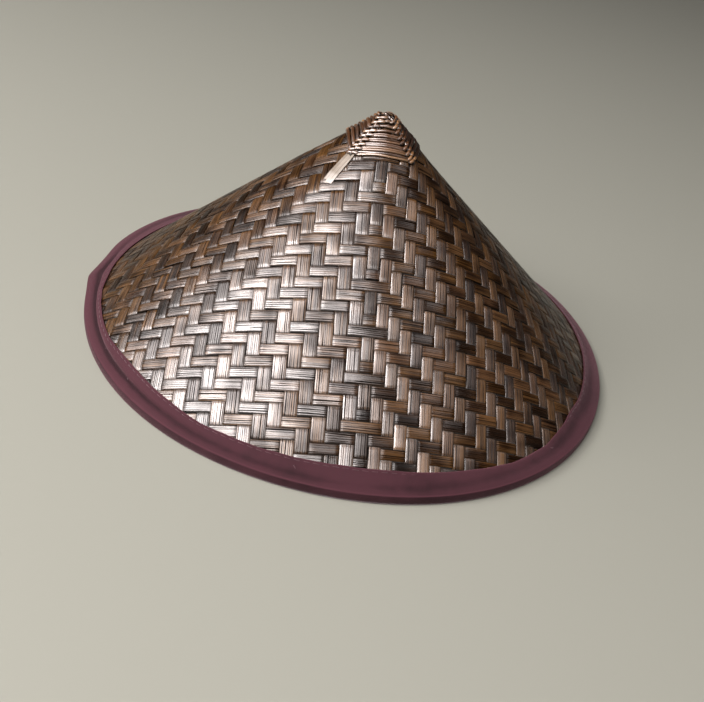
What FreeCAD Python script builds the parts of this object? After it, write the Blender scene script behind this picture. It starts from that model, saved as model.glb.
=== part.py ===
import FreeCAD, Part
import math
import os

# Conical hat of woven bamboo splints, with a cloth-bound brim, a rattan-wrapped tip,
# a head ring and a chin strap. Millimetres. +Z is up along the cone's axis, the origin
# is in the middle of the plane the brim rests on. -Y is the front, +X the right as
# seen from the front. "Slant" is the distance from the cone's virtual apex down its
# outer face. "Lift" is the height above that face, negative inside the cone.

os.makedirs("parts", exist_ok=True)

V = FreeCAD.Vector
UP = V(0, 0, 1)

# cone: three quarters of a flat mat closed on itself, so cos(slope) is 3/4
RIM_R = 210.0                # outer radius of the bound brim
COS_SLOPE = 0.75
SLOPE = math.acos(COS_SLOPE)
SIN_SLOPE = math.sin(SLOPE)
APEX_Z = RIM_R * math.tan(SLOPE)   # virtual apex of the outer face
GAP = 0.25                   # room between neighbouring pieces

# woven shell
WEAVE_T = 1.8                # two crossing splints
TIP_SLANT = 8.0              # length over which the tip is rounded
EDGE_SLANT = 270.4           # cut edge of the weave
TIP_R = TIP_SLANT * COS_SLOPE / SIN_SLOPE
TIP_CENTRE = (0.0, APEX_Z - TIP_SLANT / SIN_SLOPE)

# brim
CANE_R = 3.05                # round cane hoop at the edge
SPLINT_SLANT = (257.0, 266.0)      # flat hoop under the weave
SPLINT_T = 1.6
SPLINT_OUT = -(WEAVE_T + GAP)      # lifts of its two faces
SPLINT_IN = SPLINT_OUT - SPLINT_T
TAPE_T = 0.8                 # cloth tape, folded round the brim
TAPE_LIFT = 0.2              # its underside above the weave
TAPE_TOP = TAPE_LIFT + TAPE_T
TAPE_SLANT = 258.0           # where the tape ends on the outside
TAPE_LEG_SLANT = TAPE_SLANT - 1.0  # where it ends on the inside
TAPE_FOLD_R = CANE_R + GAP   # inner radius of the fold
TAPE_OUT_R = TAPE_FOLD_R + TAPE_T
TAPE_FOLD_DEG = (108.0, -90.0)     # fold, from the top of the cane to its bottom
CANE_CENTRE = (RIM_R - TAPE_OUT_R, TAPE_OUT_R)

STITCH_N = 96
STITCH_SLANT = 260.6
STITCH_R = 0.28
STITCH_L = 3.6
STITCH_LIFT = TAPE_TOP + 0.36

# rattan wrap round the tip
WRAP_LIFT = 0.15             # underside of ribs and strands above the weave
RIB_R = 2.1
RIB_SLANT = (8.5, 44.0)
STRAND_SLANT = 9.8           # middle of the top strand
STRAND_PITCH = 3.8
STRAND_N = 8
STRAND_W = 3.0
STRAND_T = 1.3
STRAND_RIB_GAP = 0.35
COIL_RADII = (1.55, 3.75)    # where the two coils stand on the rounded tip
COIL_WIRE_R = 0.9
COIL_LIFT = 1.15             # coil centre line above the tip

# azimuth of a rib, its name, and the wrap in the quarter that follows it
QUARTERS = [
    (45.0, "front_right", "right"),
    (135.0, "rear_right", "rear"),
    (225.0, "rear_left", "left"),
    (315.0, "front_left", "front"),
]

# head ring: (inner, outer) radii and (bottom, top) heights
BAND_R = (86.6, 87.8)
BAND_Z = (64.5, 98.0)
HOOP_R = (BAND_R[1] + GAP, 90.6)
HOOP_LOW_Z = (64.0, 70.5)
HOOP_TOP_Z = (92.0, 98.5)
SWEAT_R = (84.6, BAND_R[0] - GAP)
SWEAT_Z = (BAND_Z[0], 84.0)
LASH_N = 8
LASH_AZ = 22.5               # azimuth of the first lashing
LASH_R = 0.7
LASH_GAP = 0.2               # between a lashing and what it binds
LASH_OFF = LASH_GAP + LASH_R
LASH_RADII = (BAND_R[0] - LASH_OFF, HOOP_R[1] + LASH_OFF)
LASH_Z = (HOOP_TOP_Z[0] - LASH_OFF, HOOP_TOP_Z[1] + LASH_OFF)
LASH_PUNCH_EXTRA = 2.0       # punch length beyond each side of the lashing

# chin strap; distances down the cord are from the rings' hinge bars
RING_WIRE_R = 0.75
RING_X = (83.6, 91.6)        # legs of the rectangular rings
HINGE_Z, RING_TOP_Z = 57.0, 67.3   # hinge bar, and bar through the head ring
PUNCH_X = 80.0               # where the holes for the rings begin
PUNCH_L = 16.0
CORD_R = 1.2
CORD_FIT = 0.15              # room round the cord in the bead and the end wrap
EYE_X = (RING_X[0] + RING_X[1]) / 2
EYE_R = 2.3
LEG_X = EYE_X - 0.4          # top end of each leg of the cord
LEG_TOP = EYE_R + 0.5
CORD_GAP = 2.4               # half the distance between the two parallel runs
CORD_BEND = 136.0            # where the legs turn parallel
CORD_END = 190.0             # where the U-bend begins
BEAD_AT = 148.0              # middle of the bead
BEAD_R = 6.0
BEAD_END_R = 4.6
BEAD_L = 11.0
BORE_EXTRA = 2.0             # bore length beyond each end of the bead
END_WRAP_SPAN = (184.0, 189.0)
END_WRAP_T = 0.8
REST_DIP = 16.0              # degrees below level, lying towards the back


# ---- sections: points are (radius, height) ----

def save(shape, name):
    shape.exportStep("parts/%s.step" % name)


def on_cone(slant, lift=0.0):
    return (COS_SLOPE * slant + lift * SIN_SLOPE,
            APEX_Z - slant * SIN_SLOPE + lift * COS_SLOPE)


def at_azimuth(azimuth, point):
    """3D place of a section point; azimuth 0 is the front, 90 is +X."""
    angle = math.radians(azimuth)
    return V(point[0] * math.sin(angle), -point[0] * math.cos(angle), point[1])


def in_plane(point):
    return V(point[0], 0, point[1])


def lines(*points):
    return [Part.makeLine(in_plane(a), in_plane(b)) for a, b in zip(points, points[1:])]


def polygon(*points):
    return lines(*points, points[0])


def arc_through(start, middle, end):
    return Part.Arc(in_plane(start), in_plane(middle), in_plane(end)).toShape()


def arc(centre, radius, deg0, deg1):
    """Arc between two angles, with its first and last points."""
    start, middle, end = [
        (centre[0] + radius * math.cos(math.radians(deg)),
         centre[1] + radius * math.sin(math.radians(deg)))
        for deg in (deg0, 0.5 * (deg0 + deg1), deg1)]
    return arc_through(start, middle, end), start, end


def box_section(radii, heights):
    (r0, r1), (z0, z1) = radii, heights
    return polygon((r0, z0), (r1, z0), (r1, z1), (r0, z1))


def cone_section(slants, lift0, lift1):
    """Rectangle lying along the slope."""
    top, bottom = slants
    return polygon(on_cone(top, lift0), on_cone(bottom, lift0),
                   on_cone(bottom, lift1), on_cone(top, lift1))


def turned(edges, azimuths=None):
    """Turn a closed section about the axis, all round or between two azimuths."""
    face = Part.Face(Part.Wire(edges))
    sweep = 360
    if azimuths:
        face.rotate(V(0, 0, 0), UP, azimuths[0] - 90.0)
        sweep = azimuths[1] - azimuths[0]
    solid = face.revolve(V(0, 0, 0), UP, sweep)
    if solid.Volume < 0:
        solid.reverse()
    return solid


# ---- round bars ----

def rod(start, end, radius, ball_start=False, ball_end=False):
    along = end.sub(start)
    bar = Part.makeCylinder(radius, along.Length, start, along)
    if ball_start:
        bar = bar.fuse(Part.makeSphere(radius, start))
    if ball_end:
        bar = bar.fuse(Part.makeSphere(radius, end))
    return bar


def wire_loop(corners, radius):
    """A closed bent rod through the given corners."""
    loop = None
    for start, end in zip(corners, corners[1:] + corners[:1]):
        side = rod(start, end, radius, ball_start=True)
        loop = side if loop is None else loop.fuse(side)
    return loop.removeSplitter()


# ---- shell and brim ----

def woven_shell():
    tangent = 90.0 - math.degrees(SLOPE)   # angle where the rounding meets the slope
    outer, outer_top, outer_end = arc(TIP_CENTRE, TIP_R, 90.0, tangent)
    inner, inner_end, inner_top = arc(TIP_CENTRE, TIP_R - WEAVE_T, tangent, 90.0)
    return turned(
        [outer]
        + lines(outer_end, on_cone(EDGE_SLANT), on_cone(EDGE_SLANT, -WEAVE_T), inner_end)
        + [inner] + lines(inner_top, outer_top))


def brim_binding():
    """Tape: down the outside, round the cane, and back up under the flat hoop."""
    top_deg, bottom_deg = TAPE_FOLD_DEG
    outer, outer_top, outer_bottom = arc(CANE_CENTRE, TAPE_OUT_R, top_deg, bottom_deg)
    inner, inner_bottom, inner_top = arc(CANE_CENTRE, TAPE_FOLD_R, bottom_deg, top_deg)
    leg_in = SPLINT_IN - GAP   # face of the lower leg next to the flat hoop
    leg_out = leg_in - TAPE_T
    end = on_cone(TAPE_SLANT, TAPE_TOP)
    return turned(
        lines(end, on_cone(267.6, TAPE_TOP), outer_top)
        + [outer]
        + lines(outer_bottom,
                (202.4, 0.0),                      # end of the flat that rests on the plane
                on_cone(264.0, leg_out),
                on_cone(TAPE_LEG_SLANT, leg_out),
                on_cone(TAPE_LEG_SLANT, leg_in),
                on_cone(266.4, leg_in - 0.35),
                (202.6, TAPE_T),                   # top face of the same flat
                inner_bottom)
        + [inner]
        + lines(inner_top, on_cone(269.0, TAPE_LIFT), on_cone(TAPE_SLANT, TAPE_LIFT), end))


def binding_stitches():
    stitches = []
    for i in range(STITCH_N):
        azimuth = 360.0 * (i + 0.5) / STITCH_N
        middle = at_azimuth(azimuth, on_cone(STITCH_SLANT, STITCH_LIFT))
        angle = math.radians(azimuth)
        tangent = V(math.cos(angle), math.sin(angle), 0)
        start = middle.sub(tangent * (0.5 * STITCH_L))
        stitches.append(Part.makeCylinder(STITCH_R, STITCH_L, start, tangent))
    return Part.makeCompound(stitches)


save(woven_shell(), "woven_shell")
save(Part.makeTorus(CANE_CENTRE[0], CANE_R, V(0, 0, CANE_CENTRE[1])), "rim_hoop_outer")
save(turned(cone_section(SPLINT_SLANT, SPLINT_OUT, SPLINT_IN)), "rim_hoop_inner")
save(brim_binding(), "brim_binding")
save(binding_stitches(), "binding_stitches")


# ---- tip: four ribs down the cone, strands between them, coils on top ----

def tip_rib(azimuth):
    top, bottom = [at_azimuth(azimuth, on_cone(slant, WRAP_LIFT + RIB_R))
                   for slant in RIB_SLANT]
    return rod(top, bottom, RIB_R, ball_end=True).removeSplitter()


def tip_wrap(azimuth):
    """Strands across the quarter that starts at a rib's azimuth."""
    strands = []
    for i in range(STRAND_N):
        middle = STRAND_SLANT + STRAND_PITCH * i
        slants = (middle - 0.5 * STRAND_W, middle + 0.5 * STRAND_W)
        clear = math.degrees(math.asin((RIB_R + STRAND_RIB_GAP) / (COS_SLOPE * slants[0])))
        section = cone_section(slants, WRAP_LIFT, WRAP_LIFT + STRAND_T)
        strands.append(turned(section, (azimuth + clear, azimuth + 90.0 - clear)))
    return Part.makeCompound(strands)


def tip_coil():
    coils = []
    for radius in COIL_RADII:
        rise = math.sqrt(TIP_R ** 2 - radius ** 2)
        scale = 1 + COIL_LIFT / TIP_R   # moves the point out along the tip's normal
        centre = V(0, 0, TIP_CENTRE[1] + rise * scale)
        coils.append(Part.makeTorus(radius * scale, COIL_WIRE_R, centre))
    return Part.makeCompound(coils)


for azimuth, rib_name, wrap_name in QUARTERS:
    save(tip_rib(azimuth), "tip_rib_" + rib_name)
    save(tip_wrap(azimuth), "tip_wrap_" + wrap_name)
save(tip_coil(), "tip_coil")


# ---- head ring inside the cone ----

def lashing(azimuth):
    (r0, r1), (z0, z1) = LASH_RADII, LASH_Z
    corners = [(r0, z0), (r1, z0), (r1, z1), (r0, z1)]
    return wire_loop([at_azimuth(azimuth, corner) for corner in corners], LASH_R)


def lashing_punch(azimuth):
    start = at_azimuth(azimuth, (LASH_RADII[0] - LASH_PUNCH_EXTRA, LASH_Z[0]))
    end = at_azimuth(azimuth, (LASH_RADII[1] + LASH_PUNCH_EXTRA, LASH_Z[0]))
    return rod(start, end, LASH_R + GAP)


def ring_punched(shape):
    """Cut the left and right holes for the chin strap's rings."""
    for side in (-1, 1):
        start = V(side * PUNCH_X, 0, RING_TOP_Z)
        shape = shape.cut(Part.makeCylinder(RING_WIRE_R + GAP, PUNCH_L, start, V(side, 0, 0)))
    return shape


lash_azimuths = [LASH_AZ + 360.0 * i / LASH_N for i in range(LASH_N)]
band = turned(box_section(BAND_R, BAND_Z))
for azimuth in lash_azimuths:
    band = band.cut(lashing_punch(azimuth))

save(Part.makeCompound([lashing(azimuth) for azimuth in lash_azimuths]), "head_ring_lashings")
save(ring_punched(band), "head_ring_band")
save(ring_punched(turned(box_section(HOOP_R, HOOP_LOW_Z))), "head_ring_lower_hoop")
save(turned(box_section(HOOP_R, HOOP_TOP_Z)), "head_ring_upper_hoop")
save(ring_punched(turned(box_section(SWEAT_R, SWEAT_Z))), "sweatband")


# ---- chin strap: built hanging straight down, then laid back ----

def strap_ring(side):
    x0, x1 = side * RING_X[0], side * RING_X[1]
    return wire_loop([V(x0, 0, HINGE_Z), V(x1, 0, HINGE_Z),
                      V(x1, 0, RING_TOP_Z), V(x0, 0, RING_TOP_Z)], RING_WIRE_R)


def laid_back(shape):
    shape.rotate(V(0, 0, HINGE_Z), V(1, 0, 0), 90.0 - REST_DIP)
    return shape


def down(x, distance):
    return V(x, 0, HINGE_Z - distance)


def chin_cord():
    cord = None
    for side in (-1, 1):
        turn = down(side * CORD_GAP, CORD_BEND)
        eye = Part.makeTorus(EYE_R, CORD_R, down(side * EYE_X, 0), V(1, 0, 0))
        leg = rod(down(side * LEG_X, LEG_TOP), turn, CORD_R, ball_start=True, ball_end=True)
        run = rod(turn, down(side * CORD_GAP, CORD_END), CORD_R)
        half = eye.fuse(leg).fuse(run)
        cord = half if cord is None else cord.fuse(half)
    # U-bend: the lower half of a torus
    bend = Part.makeTorus(CORD_GAP, CORD_R, down(0, CORD_END), V(0, 1, 0))
    below = Part.makeBox(20, 20, 20, V(-10, -10, HINGE_Z - CORD_END - 20))
    return cord.fuse(bend.common(below)).removeSplitter()


def bored(shape, bottom, length):
    """Cut two bores for the parallel runs of the cord."""
    for side in (-1, 1):
        start = V(side * CORD_GAP, 0, bottom)
        shape = shape.cut(Part.makeCylinder(CORD_R + CORD_FIT, length, start))
    return shape


def cord_bead():
    middle = HINGE_Z - BEAD_AT
    z0, z1 = middle - 0.5 * BEAD_L, middle + 0.5 * BEAD_L
    low, high = (BEAD_END_R, z0), (BEAD_END_R, z1)
    barrel = turned(lines((0, z0), low) + [arc_through(low, (BEAD_R, middle), high)]
                    + lines(high, (0, z1), (0, z0)))
    return bored(barrel, z0 - BORE_EXTRA, BEAD_L + 2 * BORE_EXTRA)


def cord_end_wrap():
    """Thread bound round the two runs below the bead."""
    bottom = HINGE_Z - END_WRAP_SPAN[1]
    height = END_WRAP_SPAN[1] - END_WRAP_SPAN[0]
    radius = CORD_R + CORD_FIT + END_WRAP_T
    left, right = [Part.makeCylinder(radius, height, V(x, 0, bottom))
                   for x in (-CORD_GAP, CORD_GAP)]
    collar = left.fuse(right)
    collar = collar.fuse(Part.makeBox(2 * CORD_GAP, 2 * radius, height,
                                      V(-CORD_GAP, -radius, bottom)))
    return bored(collar, bottom - 1, height + 2).removeSplitter()


save(strap_ring(-1), "strap_ring_left")
save(strap_ring(1), "strap_ring_right")
save(laid_back(chin_cord()), "chin_cord")
save(laid_back(cord_bead()), "cord_bead")
save(laid_back(cord_end_wrap()), "cord_end_wrap")
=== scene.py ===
"""A woven conical hat, standing with its brim on z = 0, its axis on Z and its front towards -Y.

Every splint is its own woven strip, the tip is wrapped in rattan and the brim is bound in cloth.
The head ring and the chin strap are inside. Shapes are worked out in millimetres and turned into
metres in Bag.mesh. An azimuth is an angle round the axis: 0 is the front, +90 degrees is +X.
"""
import itertools
import math
from collections import defaultdict

import bpy
import numpy as np
from mathutils import Matrix, Vector


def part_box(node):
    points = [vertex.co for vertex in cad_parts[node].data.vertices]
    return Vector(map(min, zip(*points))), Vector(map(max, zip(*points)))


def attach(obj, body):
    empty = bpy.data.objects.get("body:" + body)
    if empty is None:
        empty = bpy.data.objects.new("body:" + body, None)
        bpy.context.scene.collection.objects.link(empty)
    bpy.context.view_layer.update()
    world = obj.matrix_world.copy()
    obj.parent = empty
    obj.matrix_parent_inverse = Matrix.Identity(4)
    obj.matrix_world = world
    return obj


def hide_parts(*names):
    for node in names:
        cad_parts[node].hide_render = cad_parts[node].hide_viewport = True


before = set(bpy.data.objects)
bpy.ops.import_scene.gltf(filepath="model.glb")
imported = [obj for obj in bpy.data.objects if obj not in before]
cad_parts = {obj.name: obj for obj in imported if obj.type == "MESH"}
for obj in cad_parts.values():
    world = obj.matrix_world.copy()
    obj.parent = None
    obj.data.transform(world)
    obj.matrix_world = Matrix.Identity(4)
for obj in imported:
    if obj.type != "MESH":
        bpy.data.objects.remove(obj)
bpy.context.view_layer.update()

# ------------------------------------------------------------------ driving sizes
MM = 0.001
brim_low, brim_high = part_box("brim_binding")
RIM = 0.5 * (brim_high.x - brim_low.x) / MM        # outer radius of the brim
COS_SLOPE = 0.75                                   # radius gained for each mm down the slant
SLOPE = math.acos(COS_SLOPE)
SIN_SLOPE = math.sin(SLOPE)
APEX_Z = RIM * math.tan(SLOPE)
SPLINT_EDGE = 270.4                                # slant length where the splints are cut
BRIM_SLANT = 280.0                                 # slant length the tape's width is taken from
STRETCH_START, STRETCH_END = 259.0, 270.0          # slant where the rim's unevenness sets in
CAMERA_TURN = 7.76                                 # degrees from the camera's side to the front seam

# the rim's unevenness round the camera's side: wave, waves to a turn, share of the radius
RIM_WAVES = ((np.cos, 2, -0.0025), (np.sin, 2, 0.0192), (np.cos, 3, 0.0094),
             (np.sin, 3, 0.0020), (np.cos, 4, -0.0068))
RIM_CORNER = -96.6                                 # azimuth in degrees where the tape stands out
# the farthest the splints may reach: degrees from the camera's side, slant length
EDGE_LIMIT = ((-150, 275.0), (-140, 266.0), (-102, 266.0), (-95, 262.2), (-48, 262.2),
              (-38, 275.0))


# ------------------------------------------------------------------ curves and noise
def smooth(x, low=0.0, high=1.0):
    t = np.clip((x - low) / (high - low), 0, 1)
    return t * t * (3 - 2 * t)


def bell(x, centre, width):
    return np.exp(-((x - centre) / width) ** 2)


def wrap180(degrees):
    return (degrees + 180.0) % 360.0 - 180.0


def knot_noise(x, knots, size):
    """Smooth noise at x, with a new value from knots at every whole number."""
    i = x.astype(int)
    t = smooth(x - i)
    return size * (knots[i % len(knots)] * (1 - t) + knots[(i + 1) % len(knots)] * t)


def line_noise(count, step, seed, size):
    """Noise at count samples, a new value every step samples."""
    knots = np.random.default_rng(seed).uniform(-1, 1, int(count / step) + 4)
    return knot_noise(np.arange(count) / step, knots, size)


def ring_noise(count, knot_count, seed, size):
    """Noise at count samples that closes on itself."""
    knots = np.random.default_rng(seed).uniform(-1, 1, knot_count)
    return knot_noise(np.arange(count) * knot_count / count, knots, size)


def unit(vectors):
    return vectors / np.linalg.norm(vectors, axis=-1, keepdims=True)


def run_length(path):
    return np.concatenate([[0], np.cumsum(np.linalg.norm(np.diff(path, axis=0), axis=1))])


def tangents(path, closed=False):
    if closed:
        return unit(np.roll(path, -1, 0) - np.roll(path, 1, 0))
    return unit(np.gradient(path, axis=0))


def spline(control, steps, closed=False):
    """Catmull-Rom curve through control (..., k, d), with steps points to each span."""
    k = control.shape[-2]

    def shifted(offset):
        if closed:
            rows = (np.arange(k) + offset) % k
        else:
            rows = np.clip(np.arange(k - 1) + offset, 0, k - 1)
        return control[..., rows, :][..., None, :]

    before, start, end, after = (shifted(offset) for offset in (-1, 0, 1, 2))
    t = (np.arange(steps) / steps)[:, None]
    curve = 0.5 * (2 * start + (end - before) * t
                   + (2 * before - 5 * start + 4 * end - after) * t ** 2
                   + (3 * start - before - 3 * end + after) * t ** 3)
    curve = curve.reshape(control.shape[:-2] + (-1, control.shape[-1]))
    if not closed:
        curve = np.concatenate([curve, control[..., -1:, :]], -2)
    return curve


def resample(path, step):
    length = run_length(path)
    x = np.linspace(0, length[-1], max(4, int(length[-1] / step)))
    return np.stack([np.interp(x, length, path[:, i]) for i in range(3)], -1)


# ------------------------------------------------------------------ places on the hat
def around(azimuth, radius, z):
    return np.stack([radius * np.sin(azimuth), -radius * np.cos(azimuth), z + 0 * azimuth], -1)


def sideways(azimuth):
    """The level direction round the hat."""
    return np.stack([np.cos(azimuth), np.sin(azimuth), 0 * azimuth], -1)


def outward_at(azimuth):
    """The direction square out of the cone."""
    return around(azimuth, SIN_SLOPE, COS_SLOPE)


def to_radius_z(slant, offset):
    """Radius and height at a slant length from the apex, offset out of the cone."""
    return COS_SLOPE * slant + offset * SIN_SLOPE, APEX_Z - slant * SIN_SLOPE + offset * COS_SLOPE


def to_slant_offset(radius, z):
    return (COS_SLOPE * radius - SIN_SLOPE * (z - APEX_Z),
            SIN_SLOPE * radius + COS_SLOPE * (z - APEX_Z))


def cone(slant, azimuth, offset):
    return around(azimuth, *to_radius_z(slant, offset))


def rim_factor(azimuth):
    """How far out the rim is: the hoop isn't quite round, and its left has a corner."""
    turn = azimuth + math.radians(CAMERA_TURN)
    factor = 1
    for wave, count, size in RIM_WAVES:
        factor = factor + size * wave(count * turn)
    d = wrap180(np.degrees(azimuth) - RIM_CORNER)
    return factor + 0.013 * np.exp(-np.abs(d / 4.2) ** 1.5) - 0.006 * bell(d, -9, 6.0)


def rim_stretch(slant, azimuth):
    """The rim's unevenness, fading in towards the edge."""
    return 1 + smooth(slant, STRETCH_START, STRETCH_END) * (rim_factor(azimuth) - 1)


def splint_edge(azimuth):
    """Slant length where the splints are cut, drawn in where the rim is."""
    short = -RIM * (rim_factor(azimuth) - 1)
    edge = SPLINT_EDGE - 5.0 * smooth(short, 0, 0.8) - 1.1 * np.maximum(0, short - 0.8)
    side = wrap180(np.degrees(azimuth) + CAMERA_TURN)
    return np.minimum(edge, np.interp(side, *np.transpose(EDGE_LIMIT)))


# ------------------------------------------------------------------ meshes
TIP_LEAN = 2.6                                     # the tip is pushed this far to one side
LEAN_X, LEAN_Y = 0.991, -0.135
LEAN_FROM, LEAN_FULL = 128.0, 183.0                # heights


class Bag:
    """Collects grids of points with their attributes, then makes one mesh.

    fib   mm across the fibres, mm along them, an offset of the strip's own
    tint  tone, hue, how far the place shows, which the materials turn into painted shade (in cloth:
    nothing, the fold, which gets a painted highlight, and painted light and shade)
    acr   direction across the fibres
    xn    place across a splint, -1 to 1
    edg   1 where the splint's edge gets painted shade
    """

    def __init__(self):
        self.points, self.faces, self.count, self.attributes = [], [], 0, {}

    def add(self, points, faces, **attributes):
        """points is (n, m, 3). A tuple holds a vector's parts; parts and numbers are spread."""
        shape = points.shape[:2]
        self.points.append(points.reshape(-1, 3))
        self.faces += [part + self.count for part in faces]
        self.count += shape[0] * shape[1]
        for name, value in attributes.items():
            if isinstance(value, tuple):
                value = np.stack([np.broadcast_to(part, shape) for part in value], -1)
            elif np.ndim(value) < 3:
                value = np.broadcast_to(value, shape)
            value = value.reshape(-1, *value.shape[2:])
            self.attributes.setdefault(name, []).append(value)

    def mesh(self, name, sharp_angle):
        points = np.concatenate(self.points)
        lean = TIP_LEAN * smooth(points[:, 2], LEAN_FROM, LEAN_FULL)
        points[:, 0] += LEAN_X * lean
        points[:, 1] += LEAN_Y * lean
        points = points * MM
        mesh = bpy.data.meshes.new(name)
        mesh.vertices.add(len(points))
        mesh.vertices.foreach_set("co", points.astype(np.float32).ravel())
        sizes = np.concatenate([np.full(len(part), part.shape[1]) for part in self.faces])
        loops = np.concatenate([part.ravel() for part in self.faces])
        mesh.loops.add(len(loops))
        mesh.loops.foreach_set("vertex_index", loops.astype(np.int32))
        mesh.polygons.add(len(sizes))
        mesh.polygons.foreach_set("loop_start", (np.cumsum(sizes) - sizes).astype(np.int32))
        mesh.polygons.foreach_set("loop_total", sizes.astype(np.int32))
        mesh.polygons.foreach_set("use_smooth", np.ones(len(sizes), bool))
        mesh.update(calc_edges=True)
        for key, parts in self.attributes.items():
            values = np.concatenate(parts).astype(np.float32)
            kind, field = ("FLOAT", "value") if values.ndim == 1 else ("FLOAT_VECTOR", "vector")
            data = mesh.attributes.new(key, kind, "POINT").data
            data.foreach_set(field, values.ravel())
        mesh.validate()
        if sharp_angle:
            mesh.set_sharp_from_angle(angle=math.radians(sharp_angle))
        return mesh


def piece(name, bag, slot, *replaced, body="hat", sharp_angle=40.0, material=None):
    """Makes the bag into an object. Edges steeper than sharp_angle are sharp, none if it is 0."""
    mesh = bag.mesh(name, sharp_angle)
    part = bpy.data.objects.new(name, mesh)
    bpy.context.scene.collection.objects.link(part)
    mesh.materials.append(material or MATERIALS[slot])
    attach(part, body)
    if replaced:
        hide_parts(*replaced)


def grid_faces(n, m, closed=False):
    """Quads over n rows of m points. The rows are loops; closed joins the last to the first."""
    i = np.arange(n if closed else n - 1)[:, None]
    j = np.arange(m)[None, :]
    following, beside = (i + 1) % n, (j + 1) % m
    quads = [i * m + j, i * m + beside, following * m + beside, following * m + j]
    return np.stack(quads, -1).reshape(-1, 4)


def tube_faces(n, m, closed):
    """Grid faces, with an end cap on each end of an open tube."""
    if closed:
        return [grid_faces(n, m, True)]
    return [grid_faces(n, m), np.arange(m)[None, ::-1], ((n - 1) * m + np.arange(m))[None, :]]


def ring(count, first=1.0, second=None):
    """A round or oval section with these radii."""
    a = np.arange(count) * 2 * math.pi / count
    return np.stack([first * np.cos(a), (first if second is None else second) * np.sin(a)], -1)


def section_axes(path, outward, closed=False):
    """Two directions square to the path, the first as near outward as it can be."""
    ahead = tangents(path, closed)
    outward = np.broadcast_to(outward, path.shape)
    first = unit(outward - (outward * ahead).sum(1)[:, None] * ahead)
    return first, np.cross(ahead, first)


def sweep(bag, path, outward, section, seed, closed=False, shown=1.0, tone=None, hue=None):
    """A section (m, 2), or one for each point (n, m, 2), swept along the path."""
    first, second = section_axes(path, outward, closed)
    section = np.broadcast_to(section, (len(path),) + section.shape[-2:])
    points = path[:, None] + section[..., :1] * first[:, None] + section[..., 1:] * second[:, None]
    random = np.random.default_rng(31000 + seed)
    along = run_length(path) + random.uniform(0, 300)
    lot = random.uniform(0, 100.0)
    tone = random.uniform(0, 1) if tone is None else tone
    hue = random.uniform(0, 1) if hue is None else hue
    bag.add(points, tube_faces(*points.shape[:2], closed),
            fib=(run_length(section[0]), along[:, None], lot), tint=(tone, hue, shown),
            acr=unit(np.roll(points, -1, 1) - np.roll(points, 1, 1)), xn=0.0)


# section of a splint: crowned top with shallow fibre grooves, then three points of the back
SECTION_X = np.array([-1.0, -0.945, -0.72, -0.5, -0.26, 0.0, 0.26, 0.5, 0.72, 0.945, 1.0,
                      0.94, 0.0, -0.94])
GROOVES = np.array([0.0, 0.55, 1.0, 0.25, 1.0, 0.3, 1.0, 0.2, 1.0, 0.55, 0.0])
TOP_COUNT = len(GROOVES)


def section_heights(random, thickness, crown, groove_depth, edge, hollow, shoulder_drop=0.0):
    """Heights of the section's points. edge is the height of the top's two outermost ones."""
    groove = random.uniform(0.25, 1.0, TOP_COUNT) * GROOVES * groove_depth
    top = thickness / 2 - crown * SECTION_X[:TOP_COUNT] ** 2 - groove.max() + groove
    top[[1, -2]] -= shoulder_drop
    top[[0, -1]] = edge
    return np.concatenate([top, [-thickness / 2, -thickness / 2 + hollow, -thickness / 2]])


def ribbon(bag, centre, across, normal, half_width, thickness, seed, crown=0.14, closed=False,
           shown=1.0, groove_depth=0.05, tone=None):
    """A flat splint along centre. Its width lies along across and its top faces normal."""
    across = np.broadcast_to(across, centre.shape)
    half_width = np.broadcast_to(half_width, (len(centre),))[:, None]
    random = np.random.default_rng(52000 + seed)
    heights = section_heights(
        random, thickness, crown, groove_depth, hollow=0.03,
        edge=max(thickness / 2 - crown - 0.1, -thickness / 2 + 0.12))
    x = SECTION_X[None, :] * half_width
    normal = np.broadcast_to(normal, centre.shape)
    points = centre[:, None] + x[..., None] * across[:, None] \
        + heights[None, :, None] * normal[:, None]
    along = run_length(centre) + random.uniform(0, 300)
    lot = random.uniform(0, 100.0)
    tone = random.uniform(0, 1) if tone is None else tone
    hue = random.uniform(0, 1)
    faces = tube_faces(*points.shape[:2], closed)
    if (np.cross(across, np.gradient(centre, axis=0)) * normal).sum() < 0:
        faces = [part[:, ::-1] for part in faces]      # keeps the faces outward
    bag.add(points, faces, fib=(x, along[:, None], lot),
            tint=(tone, hue, np.broadcast_to(shown, (len(centre),))[:, None]),
            acr=np.broadcast_to(across[:, None], points.shape), xn=SECTION_X)


# ------------------------------------------------------------------ node building
class Value:
    """A node's output that can stand in arithmetic: each operation adds one Math node."""

    def __init__(self, shader, socket):
        self.shader, self.socket = shader, socket

    def __add__(self, other):
        return self.shader.math("ADD", self, other)

    def __sub__(self, other):
        return self.shader.math("SUBTRACT", self, other)

    def __rsub__(self, other):
        return self.shader.math("SUBTRACT", other, self)

    def __mul__(self, other):
        return self.shader.math("MULTIPLY", self, other)

    def __truediv__(self, other):
        return self.shader.math("DIVIDE", self, other)

    def __abs__(self):
        return self.shader.math("ABSOLUTE", self)


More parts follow.
